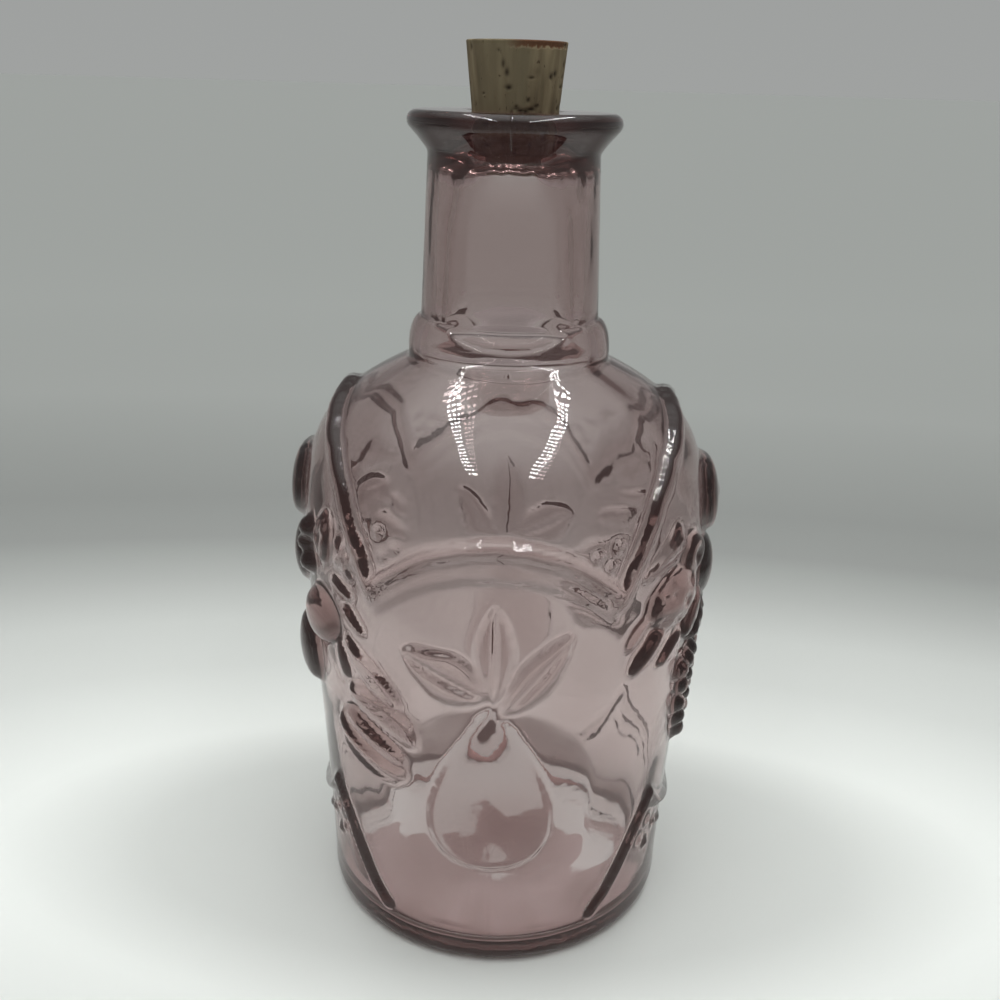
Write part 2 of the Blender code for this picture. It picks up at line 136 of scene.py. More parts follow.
# Two columns outside for each one inside. The faces at the mouth that join them need exactly two.
COLUMNS_FOR_ONE_INSIDE = 2
ROW_STEPS = {"middle": 4.0, "base": 1.3, "heel": 1.1, "wall": 1.14, "collar": 0.8, "neck": 3.4, "lip": 0.95,
             "rim": 2.4, "mouth": 1.2, "flare": 1.2, "inner_neck": 3.4, "inner_collar": 1.6,
             "inner_wall": 2.5, "bowl": 0.9, "floor": 4.0}

# The mould seams: their azimuths, the columns at each, and how far other columns stay away, in degrees
SEAM_AZIMUTHS = (0.0, 180.0)
SEAM_OFFSETS = (-0.62, -0.3, 0.0, 0.3, 0.62)
SEAM_CLEARANCE = 0.8
# Their width in degrees, their lift, and the heights between which they come and go
SEAM_WIDTH = 0.34
SEAM_LIFT = 0.22
SEAM_NECK_RISE = (190.0, 236.0)
SEAM_SHOULDER_RISE = (168.0, 190.0)
SEAM_SHOULDER_SHARE = 0.35
SEAM_FOOT_FADE = (30.0, 38.0)

# Unevenness of the glass: its height, then the seed, count, longest and shortest of its waves
OUTSIDE_UNEVENNESS = 0.016
OUTSIDE_WAVES = (11, 40, 26.0, 9.0)
FLARE_UNEVENNESS = 0.28
FLARE_WAVES = (31, 40, 34.0, 7.0)
FLARE_SQUEEZE = 2.0
INSIDE_UNEVENNESS = 0.15
INSIDE_WAVES = (23, 36, 60.0, 24.0)
# The stipple under the foot: the radii it lies between, how high it goes, its depth, its change, its waves
STIPPLE_INSIDE = 37.0
STIPPLE_OUTSIDE = 50.6
STIPPLE_TOP = 2.2
STIPPLE_DEPTH = 0.07
STIPPLE_CHANGE = 0.8
STIPPLE_WAVES = (61, 40, 4.5, 2.6)
# The cork's waves, and how much its heights are squeezed or stretched for them
RAGGED_WAVES = (47, 24, 9.0, 3.0)
RAGGED_SQUEEZE = 3.0
RIDGE_WAVES = (41, 30, 5.0, 1.6)
RIDGE_SQUEEZE = 0.12

# The relief: how far it is softened outside and inside, its share inside, and its fades along the wall
OUTSIDE_SOFTENING = 0.55
INSIDE_SOFTENING = 5.0
INSIDE_SHARE = 0.40
LOW_FADE = (8.0, 12.0)
HIGH_FADE = (171.0, 175.0)

# The camera: its distance from the bottle's axis, its height, pitch, roll and place round the bottle
CAMERA_DISTANCE = 313.9
CAMERA_HEIGHT = 254.5
CAMERA_PITCH = 21.33
CAMERA_ROLL = 1.6
CAMERA_AZIMUTH = 1.8
SENSOR_WIDTH = 36.0
FOCAL_PIXELS = 1083.0
PICTURE_PIXELS = 1000.0
AXIS_PIXEL = 504.5
# The nearest and farthest that it sees, in metres
NEAREST = 0.01
FARTHEST = 50.0

# The strip lights, in metres, and their power
STRIP_WIDTH = 0.042
STRIP_LENGTH = 0.70
STRIP_OFFSET = 0.160
STRIP_MIDDLE = -0.145
STRIP_HEIGHT = 0.60
STRIP_ENERGY = 4.6
# Their dots: the axis, the count, the power that crowds them, and the waves where they are dark and bright
STRIP_PATTERN = (("X", 3, 1.0, 0.5, 0.0), ("Y", 23, 1.45, -0.2, -0.7))

# Greys of the floor by distance in metres, as painted shade: a little darker close round the foot, lightest
# just beyond it, darker farther off as the light falls away, and lighter again far off; and greys of the sky
# by the height of the direction
FLOOR_PAINTED_SHADE_STOPS = ((0.056, 0.68), (0.080, 0.84), (0.130, 0.66), (0.172, 0.60), (0.218, 0.46), (0.273, 0.33),
               (0.337, 0.31), (0.57, 0.42), (0.95, 0.455))
FLOOR_TINT = (0.975, 1.0, 0.97)
FLOOR_SQUEEZE = (0.45, 1.0, 0.0)
FLOOR_ROUGHNESS = 0.75
FLOOR_SHINE = 0.1
FLOOR_REACH = 30.0
SKY_STOPS = ((0.0, 0.36), (0.12, 0.35), (0.24, 0.27), (0.55, 0.27), (0.75, 0.75), (1.0, 1.8))
SKY_TINT = (0.975, 1.0, 0.985)
SKY_STRENGTH = 1.0

# The painted light under the bottle, an emission on the floor standing in for the light the glass gathers:
# its radius and soft edge in metres, and its colours
PAINTED_CAUSTIC_RADIUS = 0.0505
PAINTED_CAUSTIC_EDGE = 0.001
PAINTED_CAUSTIC_DIM = (0.29, 0.265, 0.255)
PAINTED_CAUSTIC_STREAKS = (0.37, 0.345, 0.34)
PAINTED_CAUSTIC_PATCHES = (0.62, 0.75, 0.73)
# Where it grows patchy: from front to back, by a noise, and where the sum of both turns into patches
PATCH_RISE = (-0.04, 0.04)
PATCH_NOISE = (46.0, 4.5, (1.0, 1.0, 1.0))
PATCH_LIMITS = (0.35, 0.65)
PATCH_SHARE = 0.5
PATCH_STEPS = (0.83, 0.90)
STREAK_NOISE = (62.0, 2.0, (1.0, 0.4, 1.0))
STREAK_LIMITS = (0.42, 0.58)

# The glass: its surface, its ripples and smudges, its faint painted glow, and how it darkens with depth
GLASS_TINT = (0.985, 0.97, 0.975, 1.0)
GLASS_REFRACTION = 1.51
RIPPLE_NOISE = (130.0, 2.0)
RIPPLE_STRENGTH = 0.05
RIPPLE_DISTANCE = 0.0006
SMUDGE_NOISE = (34.0, 4.0)
SMUDGE_LIMITS = (0.5, 0.8)
SMUDGE_ROUGHNESS = 0.05
PAINTED_GLOW_COLOUR = (1.0, 0.53, 0.50, 1.0)
PAINTED_GLOW_STRENGTH = 0.010
ABSORPTION_COLOUR = (0.410, 0.230, 0.210, 1.0)
ABSORPTION_DENSITY = 132.0

# The cork's surface. A noise is its scale, detail and stretch, and limits are what becomes 0 and 1.
CORK_ROUGHNESS = 0.88
CORK_SHINE = 0.2
GRAIN_NOISE = (330.0, 5.0, (1.0, 1.0, 0.10))
GRAIN_LIMITS = (0.32, 0.70)
GRAIN_DARK = (0.112, 0.085, 0.051)
GRAIN_PALE = (0.246, 0.198, 0.121)
# Bands and then specks over the grain: noise, limits and colour
CORK_MARKS = (((110.0, 2.0, (1.0, 1.0, 0.06)), (0.40, 0.66), (0.154, 0.128, 0.080)),
              ((900.0, 3.0, (1.0, 1.0, 0.5)), (0.66, 0.74), (0.066, 0.046, 0.030)))
# Colours of the places that the mesh marks
CORK_SPOTS = (("torn", (0.100, 0.046, 0.024)), ("pits", (0.022, 0.013, 0.009)))
CORK_BUMP_NOISE = (620.0, 6.0, (1.0, 1.0, 0.3))
CORK_BUMP_STRENGTH = 0.5
CORK_BUMP_DISTANCE = 0.0004


# Outlines of the bottle, as points (radius, height)
def curve(controls, steps=40):
    """Points along a cubic curve with four control points."""
    t = np.linspace(0.0, 1.0, steps + 1)[:, None]
    p = [np.array(point, float) for point in controls]
    return ((1 - t) ** 3 * p[0] + 3 * t * (1 - t) ** 2 * p[1]
            + 3 * t * t * (1 - t) * p[2] + t ** 3 * p[3])


def arc(centre, radius, start, end, steps=16):
    """Points along a circular arc, with its angles in degrees."""
    angles = np.radians(np.linspace(start, end, steps + 1))
    return np.column_stack([centre[0] + radius * np.cos(angles), centre[1] + radius * np.sin(angles)])


def resampled(points, step):
    """A line's points again at even steps, its ends kept."""
    points = np.asarray(points, float)
    lengths = np.hypot(*np.diff(points, axis=0).T)
    distance = np.concatenate([[0.0], np.cumsum(lengths)])
    count = max(1, int(round(distance[-1] / step)))
    places = np.linspace(0.0, distance[-1], count + 1)
    return np.column_stack([np.interp(places, distance, points[:, axis]) for axis in (0, 1)])


def cork_radius(height):
    """The cork's radius at a height."""
    return CORK_TOP_RADIUS - CORK_TAPER * (CORK_TOP - height) / CORK_LENGTH


def wall_line(inset=0.0):
    """The side of the body from the heel up to the collar."""
    lower = curve(((FOOT_RADIUS - inset, HEEL_TOP), (FOOT_HANDLE[0] - inset, FOOT_HANDLE[1]),
                   (WAIST_HANDLE[0] - inset, WAIST_HANDLE[1]), (BODY_RADIUS - inset, WIDEST_HEIGHT)))
    upper = curve(((BODY_RADIUS - inset, WIDEST_HEIGHT),
                   (WIDEST_HANDLE[0] - inset, WIDEST_HANDLE[1] - inset * WIDEST_DROP_SHARE),
                   (SHOULDER_HANDLE[0] - inset * SHOULDER_DROP_SHARE,
                    SHOULDER_HANDLE[1] - inset * SHOULDER_DROP_SHARE),
                   (COLLAR_RADIUS - inset, BODY_HEIGHT - inset * COLLAR_DROP_SHARE)))
    return np.vstack([lower, upper[1:]])


def outer_sections():
    """The outside from the middle of the base up to the rim, as names and lines."""
    ring_inside = FOOT_RADIUS - HEEL_RADIUS - FOOT_RING_WIDTH
    heel_centre = (FOOT_RADIUS - HEEL_RADIUS, HEEL_RADIUS)
    hollow = curve(((ring_inside * 0.5, PUSH_UP), (ring_inside, PUSH_UP),
                    (ring_inside, 0.0), (ring_inside + 3.0, 0.0)), 12)
    base = np.vstack([[(0.0, PUSH_UP)], hollow, [(heel_centre[0], 0.0)]])
    flat_end = int(np.sum(base[:, 0] < STIPPLE_INSIDE))
    heel = np.vstack([arc(heel_centre, HEEL_RADIUS, -90.0, 0.0), [(FOOT_RADIUS, HEEL_TOP)]])
    collar = curve(((COLLAR_RADIUS, BODY_HEIGHT), (COLLAR_RADIUS + 0.3, BODY_HEIGHT + 5.4),
                    (COLLAR_RADIUS - 0.2, COLLAR_TOP - 1.2), (NECK_BASE_RADIUS, COLLAR_TOP)), 24)
    neck = np.array([(NECK_BASE_RADIUS, COLLAR_TOP), (NECK_TOP_RADIUS, LIP_BOTTOM)])
    lip_edge = arc((LIP_RADIUS - LIP_ROUNDING, RIM_HEIGHT - LIP_ROUNDING), LIP_ROUNDING, -42.0, 90.0)
    under_lip = curve(((NECK_TOP_RADIUS + 0.2, LIP_BOTTOM + 0.6), (NECK_TOP_RADIUS + 1.0, LIP_BOTTOM + 1.8),
                       (NECK_TOP_RADIUS + 2.4, LIP_BOTTOM + 3.6), tuple(lip_edge[0])), 10)
    lip = np.vstack([[(NECK_TOP_RADIUS, LIP_BOTTOM)], under_lip, lip_edge[1:]])
    return [("middle", base[:flat_end]), ("base", base[flat_end - 1:]), ("heel", heel),
            ("wall", wall_line()), ("collar", collar), ("neck", neck), ("lip", lip)]


def inner_sections():
    """The inside from the rim down to the middle of the floor, as names and lines."""
    mouth_edge = cork_radius(RIM_HEIGHT) + CORK_GAP
    throat = cork_radius(LIP_BOTTOM) + CORK_GAP
    flare_end = LIP_BOTTOM - THROAT_FLARE
    neck_radius = NECK_TOP_RADIUS - NECK_WALL
    rim = np.array([(LIP_RADIUS - LIP_ROUNDING, RIM_HEIGHT), (mouth_edge + MOUTH_ROUNDING, RIM_HEIGHT)])
    mouth = np.vstack([arc((mouth_edge + MOUTH_ROUNDING, RIM_HEIGHT - MOUTH_ROUNDING), MOUTH_ROUNDING,
                           90.0, 180.0, 8), [(throat, LIP_BOTTOM)]])
    flare = curve(((throat, LIP_BOTTOM), (throat, LIP_BOTTOM - THROAT_FLARE * 0.5),
                   (neck_radius, flare_end + THROAT_FLARE * 0.5), (neck_radius, flare_end)), 12)
    collar_start = (NECK_BASE_RADIUS - NECK_WALL, COLLAR_TOP)
    neck = np.array([(neck_radius, flare_end), collar_start])
    wall = wall_line(WALL)[::-1]
    collar = curve((collar_start, (collar_start[0] + 1.8, COLLAR_TOP - 1.0),
                    (wall[0][0] + 0.4, COLLAR_TOP - 5.0), tuple(wall[0])), 16)
    side = FOOT_RADIUS - WALL
    bowl = curve(((side + 0.1, BOWL_TOP), (side, BOWL_TOP - 5.6),
                  (side - 1.5, FLOOR_EDGE_HEIGHT), (side - 9.0, FLOOR_EDGE_HEIGHT)), 24)
    floor = curve((tuple(bowl[-1]), (24.0, FLOOR_HEIGHT - 3.0), (12.0, FLOOR_HEIGHT - 1.0),
                   (0.0, FLOOR_HEIGHT)), 10)
    above = wall[wall[:, 1] > bowl[0][1] + 0.5]
    return [("rim", rim), ("mouth", mouth), ("flare", flare), ("inner_neck", neck), ("inner_collar", collar),
            ("inner_wall", np.vstack([above, bowl[:1]])), ("bowl", bowl), ("floor", floor)]


def rows_of(sections):
    """Every row of the lathe: (radius, height), the wall's outward normal there, and the section's name."""
    points, names = [], []
    for name, line in sections:
        even = resampled(line, ROW_STEPS[name])
        start = 1 if points else 0
        points.extend(even[start:])
        names.extend([name] * (len(even) - start))
    points = np.array(points)
    ahead = np.vstack([points[1:], points[-1:]])
    behind = np.vstack([points[:1], points[:-1]])
    along = ahead - behind
    along /= np.hypot(*along.T)[:, None]
    normals = np.column_stack([along[:, 1], -along[:, 0]])
    return points, normals, np.array(names)


# The relief pressed into the wall. It repeats every half turn, so an azimuth is taken from -90 to 90 degrees.
HALF_TURN = 180.0


def wrapped(degrees):
    """An angle brought within a quarter turn of zero, as the relief repeats every half turn."""
    return (degrees + HALF_TURN / 2.0) % HALF_TURN - HALF_TURN / 2.0


def wrapped_full(degrees):
    """An angle brought within half a turn of zero."""
    return (degrees + HALF_TURN) % (2.0 * HALF_TURN) - HALF_TURN


def step_up(values, start, end):
    """A smooth rise from 0 to 1 between two values."""
    t = np.clip((values - start) / (end - start), 0.0, 1.0)
    return t * t * (3.0 - 2.0 * t)


class Relief:
    """Heights of the relief over a grid of azimuths and heights on the wall."""

    # A leaf's outline, the width of its groove, and the depth and slant of its veins
    LEAF_POWERS = (1.8, 0.9)
    GROOVE_WIDTH = 0.75
    VEIN_DEPTH = 0.22
    VEIN_SLANT = 0.9
    # How steep a grooved fruit's sides are
    GROOVED_EDGE = 0.42

    def __init__(self, azimuths, heights):
        line = wall_line()
        slope = np.gradient(line, axis=0)
        slope /= np.hypot(*slope.T)[:, None]
        self.radius_at = lambda z: np.interp(z, line[:, 1], line[:, 0])
        self.rise_at = lambda z: np.interp(z, line[:, 1], slope[:, 1])
        self.azimuths = azimuths[None, :] + np.zeros((len(heights), 1))
        self.azimuths_front = wrapped(self.azimuths)
        self.heights = heights[:, None] + np.zeros((1, len(azimuths)))
        self.lift = np.zeros_like(self.azimuths)

    def local(self, azimuth, height, turn=0.0):
        """Distances in millimetres from a place on the wall, along a turned direction and across it."""
        across = np.radians(wrapped(self.azimuths - azimuth)) * self.radius_at(height)
        up = (self.heights - height) / self.rise_at(height)
        cosine, sine = math.cos(math.radians(turn)), math.sin(math.radians(turn))
        return across * cosine + up * sine, up * cosine - across * sine

    def add(self, lift):
        """Join a shape with what is there, the higher of the two."""
        self.lift = np.maximum(self.lift, lift)

    def cut(self, depth):
        """Take a groove off what is there, down to the wall at most."""
        self.lift = np.maximum(self.lift - depth, 0.0)

    def dome(self, azimuth, height, width, tall, turn, lift, edge=0.5, power=2.0):
        """A rounded shape. A low edge number makes its sides steep."""
        u, v = self.local(azimuth, height, turn)
        inside = 1.0 - np.abs(u * 2.0 / width) ** power - np.abs(v * 2.0 / tall) ** power
        self.add(lift * np.clip(inside, 0.0, 1.0) ** edge)

    def leaf(self, azimuth, height, length, width, turn, lift, groove=0.5, skew=0.0, veins=0, edge=0.5):
        """A pointed leaf of two rounded halves beside a groove, with side veins if there are any."""
        u, v = self.local(azimuth, height, turn)
        t = np.clip(u * 2.0 / length, -1.0, 1.0)
        point, fullness = self.LEAF_POWERS
        half = width / 2.0 * (1.0 - np.abs(t) ** point) ** fullness * (1.0 + skew * t) + 1e-6
        inside = np.clip(1.0 - (v / half) ** 2, 0.0, 1.0) * (np.abs(u) < length / 2.0)
        shape = lift * inside ** edge
        shape *= 1.0 - groove * np.exp(-(v / self.GROOVE_WIDTH) ** 2)
        if veins:
            slanted = u - np.abs(v) * self.VEIN_SLANT
            shape *= 1.0 - self.VEIN_DEPTH * np.clip(np.cos(slanted * math.tau * veins / length), 0.0, 1.0)
        self.add(shape)

    def rib(self, places, width, lift, edge):
        """A round rib along a line of places."""
        nearest = np.full_like(self.lift, 1e9)
        for (azimuth_a, height_a), (azimuth_b, height_b) in zip(places, places[1:]):
            middle = (azimuth_a + azimuth_b) / 2.0, (height_a + height_b) / 2.0
            radius, rise = self.radius_at(middle[1]), self.rise_at(middle[1])
            half_x = math.radians(azimuth_b - azimuth_a) * radius / 2.0
            half_y = (height_b - height_a) / rise / 2.0
            u, v = self.local(middle[0], middle[1])
            share = np.clip((u * half_x + v * half_y) / (half_x * half_x + half_y * half_y), -1.0, 1.0)
            nearest = np.minimum(nearest, np.hypot(u - share * half_x, v - share * half_y))
        inside = np.clip(1.0 - (nearest * 2.0 / width) ** 2, 0.0, 1.0)
        self.add(lift * inside ** edge)

    def grooved(self, place, bend, half_length, half_width, power, lift, base, groove, pitch):
        """A long fruit, bent, with grooves along it."""
        u, v = self.local(*place)
        v = v + bend * u * u
        inside = np.clip(1.0 - np.abs(u / half_length) ** power - (v / half_width) ** 2, 0.0, 1.0)
        self.add(lift * inside ** self.GROOVED_EDGE * (base + groove * np.cos(v * math.tau / pitch)))


# Places are (azimuth in degrees, height)
SHOULDER_RIB = ((33.5, 125.0), (36.8, 132.8), (40.9, 140.5), (46.3, 149.6), (54.5, 156.8), (66.0, 162.0),
                (78.0, 165.4), (90.0, 167.3))
ARC_RIB = ((-33.5, 125.0), (-29.0, 129.3), (-24.6, 132.8), (-20.6, 135.7), (-16.5, 138.0), (-8.5, 140.6),
           (0.0, 141.6), (8.5, 140.6), (16.5, 138.0), (20.6, 135.7), (24.6, 132.8), (29.0, 129.3),
           (33.5, 125.0))
LOWER_RIB = ((34.2, 13.9), (40.0, 20.3), (45.3, 28.8), (51.5, 39.0), (57.7, 48.4))
LOWER_ARC = ((57.7, 48.4), (63.0, 42.7), (67.0, 39.7), (71.0, 37.6), (80.0, 34.2), (90.0, 33.1))
# Width, lift and edge of each rib
SHOULDER_RIB_SHAPE = (6.0, 2.7, 0.5)
ARC_RIB_SHAPE = (4.6, 2.3, 0.5)
LOWER_RIB_SHAPE = (3.8, 2.0, 0.45)
LOWER_ARC_SHAPE = (3.4, 1.9, 0.5)

# The low band under the arc: its lift, and where its upper edge, its lower edge and its ends fade
BAND_LIFT = 0.75
BAND_UPPER_FADE = (-0.5, 0.5)
BAND_LOWER_FADE = (8.0, 9.2)
BAND_END_FADE = (31.0, 34.0)

# Studs are (azimuth, height, width), and low studs (azimuth, height), on both sides
STUDS = ((32.0, 139.8, 3.9), (26.2, 137.9, 3.6), (30.0, 134.6, 3.4), (-31.8, 141.4, 3.2), (-26.2, 137.9, 3.2),
         (-29.8, 135.2, 3.0), (31.8, 122.0, 4.0), (-33.8, 122.0, 3.6))
STUD_LIFT = 1.1
LOW_STUDS = ((60.5, 36.0), (56.0, 30.6), (72.0, 29.0), (60.3, 27.2), (66.0, 31.5))
LOW_STUD_WIDTH = 3.4
LOW_STUD_LIFT = 1.2

# The pear: its middle, its half sizes, the shares of its width, how steep it is, and how its top sinks
PEAR_HEIGHT = 66.75
PEAR_HALF_WIDTH = 18.5
PEAR_HALF_HEIGHT = 28.25
PEAR_WIDTH_SHARE = 0.84
PEAR_NARROWING = 0.5
PEAR_LIFT = 3.2
PEAR_EDGE = 0.3
PEAR_SINKING = 0.68
# The broad thickening of the wall round it, from the pear's middle
SWELL_LIFT = 1.9
SWELL_HALF_WIDTH = 30.0
SWELL_START = 2.0
SWELL_REACH = 25.0
SWELL_FADE = (-38.0, -22.0)

# Leaves are azimuth, height, length, width, turn and lift, and then groove, skew and veins where they differ.
# Domes are azimuth, height, width, tall, turn and lift, and then edge and power where they differ.
FRONT_LEAVES = ((-13.0, 103.6, 27.5, 15.5, 155.0, 2.6, 0.7, -0.2),
                (11.6, 104.8, 30.0, 10.8, 53.0, 2.8, 0.7, -0.2),
                (0.4, 111.0, 30.0, 11.2, 90.0, 2.25, 0.6, 0.1))
FRONT_LEAF_EDGE = 0.3
# The medal and its middle, a fruit under it, and the flower
RIGHT_DOMES = ((90.0, 138.0, 27.0, 23.0, 0.0, 4.6, 0.28, 2.4), (90.0, 138.0, 17.0, 14.0, 0.0, 5.2, 0.4),
               (90.0, 114.0, 24.0, 22.0, 0.0, 5.1, 0.45), (64.0, 128.5, 14.0, 12.0, 0.0, 3.7, 0.4))
FLOWER_PLACE = (64.0, 128.5)
FLOWER_EYE_DEPTH = 2.4
FLOWER_EYE_RADIUS = 2.6
# The fan leaf: its place and turn, where it starts, its length and widest half, its margin, fades and folds
FAN_PLACE = (49.0, 132.5, 25.0)
FAN_START = -10.5
FAN_LENGTH = 21.0
FAN_HALF_WIDTH = 5.0
FAN_MARGIN = 0.4
FAN_START_FADE = (-10.5, -9.0)
FAN_END_FADE = (8.5, 10.5)
FAN_FOLDS = 1.5
FAN_LIFT = 1.7
# The berry, and its dents as (along, aside) with their depth and half sizes
BERRY = (54.5, 118.0, 25.0, 17.5, 5.0, 4.6, 0.42)
BERRY_PLACE = (54.5, 118.0, 5.0)
BERRY_DENTS = ((-7.5, -3.0), (-3.5, 3.6), (-2.0, -4.6), (1.5, 0.2), (4.5, 4.8), (5.0, -3.6), (8.6, 1.0),
               (-7.0, 3.2))
DENT_DEPTH = 1.6
DENT_LENGTH = 1.3
DENT_WIDTH = 1.0
RIGHT_PLUM = (45.0, 106.0, 20.0, 7.6, 50.0, 3.2, 0.42)
RIGHT_LEAVES = ((40.2, 111.5, 12.5, 4.7, 52.0, 1.8, 0.0), (56.0, 101.0, 14.5, 5.6, 35.0, 2.5, 0.4),
                (68.0, 107.5, 18.0, 8.0, 45.0, 3.4, 0.3), (79.0, 101.0, 20.0, 9.0, 20.0, 4.2, 0.3, 0.0, 4))
GRAPE_ROWS = ((89.0, 4), (82.0, 3), (75.3, 3), (68.7, 2), (62.3, 1))
GRAPE_AZIMUTH = 76.0
GRAPE_WIDTH = 7.4
GRAPE_PITCH_SHARE = 0.94
GRAPE_LIFT = 3.8
# Three lumps, two plums and a bud
LEFT_DOMES = ((-64.0, 132.0, 7.4, 7.0, 0.0, 3.8), (-66.5, 126.4, 7.4, 7.0, 0.0, 3.8),
              (-64.5, 121.0, 7.4, 7.0, 0.0, 3.8), (-57.0, 107.0, 19.6, 16.8, -10.0, 4.6),
              (-71.0, 90.0, 17.4, 24.0, 8.0, 4.9, 0.45), (-47.0, 97.0, 6.4, 12.4, 12.0, 1.5))
LEFT_LEAVES = ((-54.0, 132.6, 16.0, 10.5, 82.0, 2.6, 0.45, 0.0, 3),
               (-45.5, 120.0, 11.5, 4.2, -14.0, 1.8, 0.3),
               (-41.0, 112.0, 12.0, 4.4, -38.0, 1.8, 0.0), (-35.0, 97.0, 27.0, 7.6, -36.0, 2.1, 0.35))
# The star flower: its place, its petals' count, turn, radius and reach, its lift and edge, and their relief
STAR_PLACE = (-43.5, 130.5)
STAR_PETALS = 5.0
STAR_TURN = 0.6
STAR_RADIUS = 5.6
STAR_REACH = 0.9
STAR_LIFT = 1.9
STAR_EDGE = 0.45
STAR_BASE = 0.75
STAR_WAVE = 0.25
# The banana and the segmented fruit: place and turn, bend, half sizes, power, lift, base, groove and pitch
GROOVED_FRUIT = (((-31.5, 86.0, -24.0), 0.012, 14.0, 5.0, 2.6, 3.8, 0.82, 0.18, 3.1),
                 ((-37.0, 72.0, -24.0), 0.0, 14.5, 8.8, 2.4, 4.6, 0.80, 0.20, 6.2))


def across_side(places):
    """A line of places carried on over the side of the bottle to the back."""
    return list(places) + [(HALF_TURN - azimuth, height) for azimuth, height in reversed(places[:-1])]


def add_frames(relief):
    """The ribs of the panels, the band under the arc and the studs."""
    heights = np.interp(relief.azimuths_front, [p[0] for p in ARC_RIB], [p[1] for p in ARC_RIB])
    below = heights - relief.heights
    near_front = 1.0 - step_up(np.abs(relief.azimuths_front), *BAND_END_FADE)
    band = step_up(below, *BAND_UPPER_FADE) * (1.0 - step_up(below, *BAND_LOWER_FADE)) * near_front
    relief.add(BAND_LIFT * band)
    relief.rib(across_side(SHOULDER_RIB), *SHOULDER_RIB_SHAPE)
    relief.rib(ARC_RIB, *ARC_RIB_SHAPE)
    for side in (1.0, -1.0):
        relief.rib([(azimuth * side, height) for azimuth, height in LOWER_RIB], *LOWER_RIB_SHAPE)
    relief.rib(across_side(LOWER_ARC), *LOWER_ARC_SHAPE)
    for azimuth, height, width in STUDS:
        relief.dome(azimuth, height, width, width, 0.0, STUD_LIFT)
    for azimuth, height in LOW_STUDS:
        for side in (1.0, -1.0):
            relief.dome(azimuth * side, height, LOW_STUD_WIDTH, LOW_STUD_WIDTH, 0.0, LOW_STUD_LIFT)


def add_pear(relief):
    """The pear on the front, on a broad thickening of the wall."""
    u, v = relief.local(0.0, PEAR_HEIGHT)
    t = np.clip(v / PEAR_HALF_HEIGHT, -1.0, 1.0)
    width = PEAR_WIDTH_SHARE - PEAR_NARROWING * t
    inside = np.clip(1.0 - (u / PEAR_HALF_WIDTH / width) ** 2 - t * t, 0.0, 1.0)
    upper = 1.0 - PEAR_SINKING * step_up(t, -1.0, 1.0)
    above = np.maximum(v - SWELL_START, 0.0)
    swell = np.clip(1.0 - (u / SWELL_HALF_WIDTH) ** 2 - (above / SWELL_REACH) ** 2, 0.0, 1.0)
    relief.lift = relief.lift + SWELL_LIFT * swell * step_up(v, *SWELL_FADE)
    relief.add(relief.lift + PEAR_LIFT * inside ** PEAR_EDGE * upper)


def add_front_leaves(relief):
    """The three leaves above the pear."""
    for leaf in FRONT_LEAVES:
        relief.leaf(*leaf, edge=FRONT_LEAF_EDGE)


def add_right_fruit(relief):
    """The medal, flower, fan leaf, berry, leaves and grapes that show on the right of the front."""
    for dome in RIGHT_DOMES:
        relief.dome(*dome)
    u, v = relief.local(*FLOWER_PLACE)
    relief.cut(FLOWER_EYE_DEPTH * np.exp(-((np.hypot(u, v)) / FLOWER_EYE_RADIUS) ** 2))
    u, v = relief.local(*FAN_PLACE)
    fan = FAN_HALF_WIDTH * (u - FAN_START) / FAN_LENGTH
    inside = (np.clip(1.0 - (v / (fan + FAN_MARGIN)) ** 2, 0.0, 1.0) * step_up(u, *FAN_START_FADE)
              * (1.0 - step_up(u, *FAN_END_FADE)))
    grooves = np.abs(np.cos(np.clip(v / (fan + FAN_MARGIN), -1.0, 1.0) * math.pi * FAN_FOLDS)) ** 0.5
    relief.add(FAN_LIFT * inside ** 0.5 * (0.35 + 0.65 * grooves))
    relief.dome(*BERRY)
    for along, aside in BERRY_DENTS:
        u, v = relief.local(*BERRY_PLACE)
        relief.cut(DENT_DEPTH * np.exp(-(((u - along) / DENT_LENGTH) ** 2 + ((v - aside) / DENT_WIDTH) ** 2)))
    relief.dome(*RIGHT_PLUM)
    for leaf in RIGHT_LEAVES:
        relief.leaf(*leaf)
    for height, count in GRAPE_ROWS:
        pitch = math.degrees(GRAPE_WIDTH * GRAPE_PITCH_SHARE / relief.radius_at(height))
        for index in range(count):
            azimuth = GRAPE_AZIMUTH + (index - (count - 1) / 2.0) * pitch
            relief.dome(azimuth, height, GRAPE_WIDTH, GRAPE_WIDTH, 0.0, GRAPE_LIFT)


def add_left_fruit(relief):
    """The lumps, leaves, plums, flower, banana and segmented fruit that show on the left of the front."""
    for dome in LEFT_DOMES:
        relief.dome(*dome)
    for leaf in LEFT_LEAVES:
        relief.leaf(*leaf)
    u, v = relief.local(*STAR_PLACE)
    angle, reach = np.arctan2(v, u), np.hypot(u, v)
    edge = STAR_RADIUS + STAR_REACH * np.cos(angle * STAR_PETALS + STAR_TURN)
    petals = STAR_BASE + STAR_WAVE * np.cos(angle * STAR_PETALS)
    relief.add(STAR_LIFT * np.clip(1.0 - (reach / edge) ** 2, 0.0, 1.0) ** STAR_EDGE * petals)
    for fruit in GROOVED_FRUIT:
        relief.grooved(*fruit)


def soften(field, width):
    """A field blurred round and up the wall, in grid steps, with its ends held."""
    reach = int(math.ceil(width * 3.0))
    weights = np.exp(-0.5 * (np.arange(-reach, reach + 1) / width) ** 2)
    weights /= weights.sum()
    around = sum(w * np.roll(field, k, axis=1) for w, k in zip(weights, range(-reach, reach + 1)))
    padded = np.vstack([around[:1]] * reach + [around] + [around[-1:]] * reach)
    rows = len(field)
    return sum(w * padded[k:k + rows] for w, k in zip(weights, range(2 * reach + 1)))


